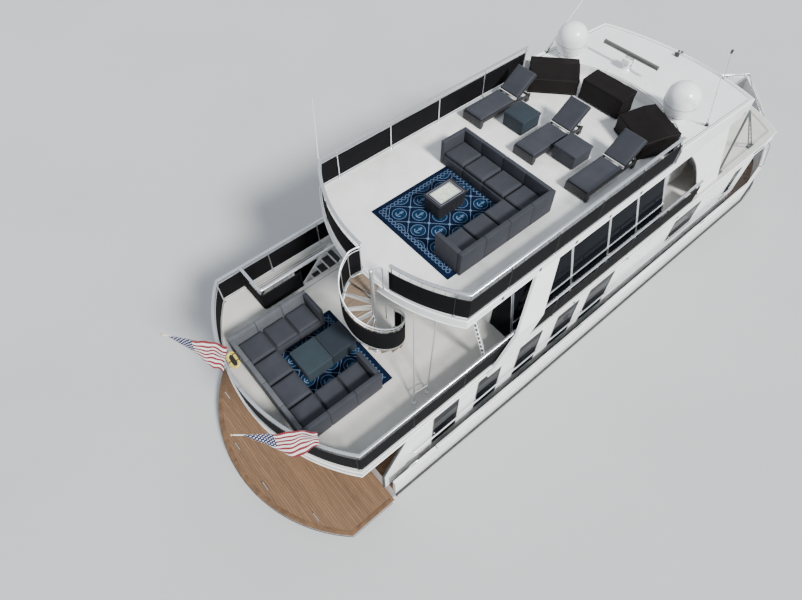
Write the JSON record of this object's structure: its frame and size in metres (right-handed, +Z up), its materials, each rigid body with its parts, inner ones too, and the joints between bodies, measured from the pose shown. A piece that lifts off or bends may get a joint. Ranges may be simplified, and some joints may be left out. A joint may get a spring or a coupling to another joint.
{
  "type": "motor yacht",
  "caption": "Three-deck motor yacht with a solid decked hull, glazed deck houses, guard rails, a spiral stair, deck furniture, twin propellers and rudders.",
  "frame": {"origin": "amidships on the centreline at the waterline", "axes": "+X towards the bow, +Y to port, +Z up"},
  "size_m": [25.2513, 7.02, 10.4227],
  "materials": {
    "gelcoat": "white gel coat, weathered to satin on the decks",
    "nonskid": "moulded non-skid",
    "teak": "oiled planks with dark caulking",
    "silver": "satin anodised tube",
    "guard_mesh": "laced black mesh",
    "black_rubber": "scuffed black rubbing strake",
    "bronze": "cast propeller bronze",
    "iron_grey": "painted engine grey",
    "wicker": "woven resin strip",
    "cover_brown": "brown-black canvas cover",
    "rug_navy": "flat-woven navy and pale blue",
    "flag_cloth": "sewn nylon bunting",
    "cushion_grey": "charcoal woven outdoor cloth",
    "tinted_glass": "dark tinted safety glass"
  },
  "bodies": {
    "yacht": {"hull": "gelcoat", "engines_on_bed": "iron_grey", "saloon_sole_hatch": "nonskid", "rub_rail": "black_rubber", "bulwark": "gelcoat", "swim_platform": "teak", "main_wall_port": "gelcoat", "main_wall_starboard": "gelcoat", "main_aft_bulkhead": "gelcoat", "main_front_wall": "gelcoat", "deck_two": "gelcoat", "deck_two_rail_port": "guard_mesh", "deck_two_rail_starboard": "guard_mesh", "side_stair": "gelcoat", "bridge_wall_port": "gelcoat", "bridge_wall_starboard": "gelcoat", "bridge_aft_bulkhead": "gelcoat", "pilothouse_front": "gelcoat", "top_deck": "gelcoat", "pilothouse_roof": "gelcoat", "top_rail_port": "guard_mesh", "top_rail_starboard": "guard_mesh", "side_fin_port": "gelcoat", "side_fin_starboard": "gelcoat", "side_posts_port": "silver", "side_posts_starboard": "silver", "spiral_stair": "silver", "stay_poles": "silver", "satellite_dome_port": "gelcoat", "satellite_dome_starboard": "gelcoat", "antenna_port": "gelcoat", "antenna_starboard": "gelcoat", "antenna_quarter": "gelcoat", "gangway_frame": "silver", "sun_sofa": "wicker", "aft_sofa": "wicker", "sun_rug": "rug_navy", "aft_rug": "rug_navy", "fire_table": "wicker", "aft_table": "wicker", "cube_table_port": "wicker", "cube_table_starboard": "wicker", "lounger_port": "wicker", "lounger_middle": "wicker", "lounger_starboard": "wicker", "covered_chair_port": "cover_brown", "covered_chair_middle": "cover_brown", "covered_chair_starboard": "cover_brown", "ensign_port": "flag_cloth", "ensign_starboard": "flag_cloth"},
    "propeller_port": {"propeller_port": "bronze"},
    "propeller_starboard": {"propeller_starboard": "bronze"},
    "rudder_port": {"rudder_port": "bronze"},
    "rudder_starboard": {"rudder_starboard": "bronze"},
    "boarding_gate_port": {"boarding_gate_port": "gelcoat"},
    "boarding_gate_starboard": {"boarding_gate_starboard": "gelcoat"},
    "saloon_door": {"saloon_door": "silver"},
    "bridge_door": {"bridge_door": "silver"},
    "radar_array": {"radar_array": "gelcoat"}
  },
  "joints": [
    {"name": "propeller_port_turn", "type": "hinge", "parent": "yacht", "child": "propeller_port", "pos_m": [-8.2, 1.45, -0.93], "axis": [0.9945, 0, 0.1045], "continuous": true},
    {"name": "propeller_starboard_turn", "type": "hinge", "parent": "yacht", "child": "propeller_starboard", "pos_m": [-8.2, -1.45, -0.93], "axis": [0.9945, 0, 0.1045], "continuous": true},
    {"name": "rudder_port_steer", "type": "hinge", "parent": "yacht", "child": "rudder_port", "pos_m": [-9.05, 1.45, -0.54], "axis": [0, 0, 1], "range_deg": [-35, 35]},
    {"name": "rudder_starboard_steer", "type": "hinge", "parent": "yacht", "child": "rudder_starboard", "pos_m": [-9.05, -1.45, -0.54], "axis": [0, 0, 1], "range_deg": [-35, 35]},
    {"name": "boarding_gate_port_swing", "type": "hinge", "parent": "yacht", "child": "boarding_gate_port", "pos_m": [-8.25, 3.3975, 1.25], "axis": [0, 0, 1], "range_deg": [-90, 0]},
    {"name": "boarding_gate_starboard_swing", "type": "hinge", "parent": "yacht", "child": "boarding_gate_starboard", "pos_m": [-8.25, -3.3975, 1.25], "axis": [0, 0, 1], "range_deg": [0, 90]},
    {"name": "saloon_door_slide", "type": "slide", "parent": "yacht", "child": "saloon_door", "axis": [0, 1, 0], "range_m": [0, 0.92]},
    {"name": "bridge_door_slide", "type": "slide", "parent": "yacht", "child": "bridge_door", "axis": [0, 1, 0], "range_m": [0, 0.92]},
    {"name": "radar_array_turn", "type": "hinge", "parent": "yacht", "child": "radar_array", "pos_m": [2.72, 0.58, 6.7], "axis": [0, 0, 1], "continuous": true}
  ],
  "couplings": [
    {"joint": "rudder_starboard_steer", "follows": "rudder_port_steer", "ratio": 1}
  ]
}
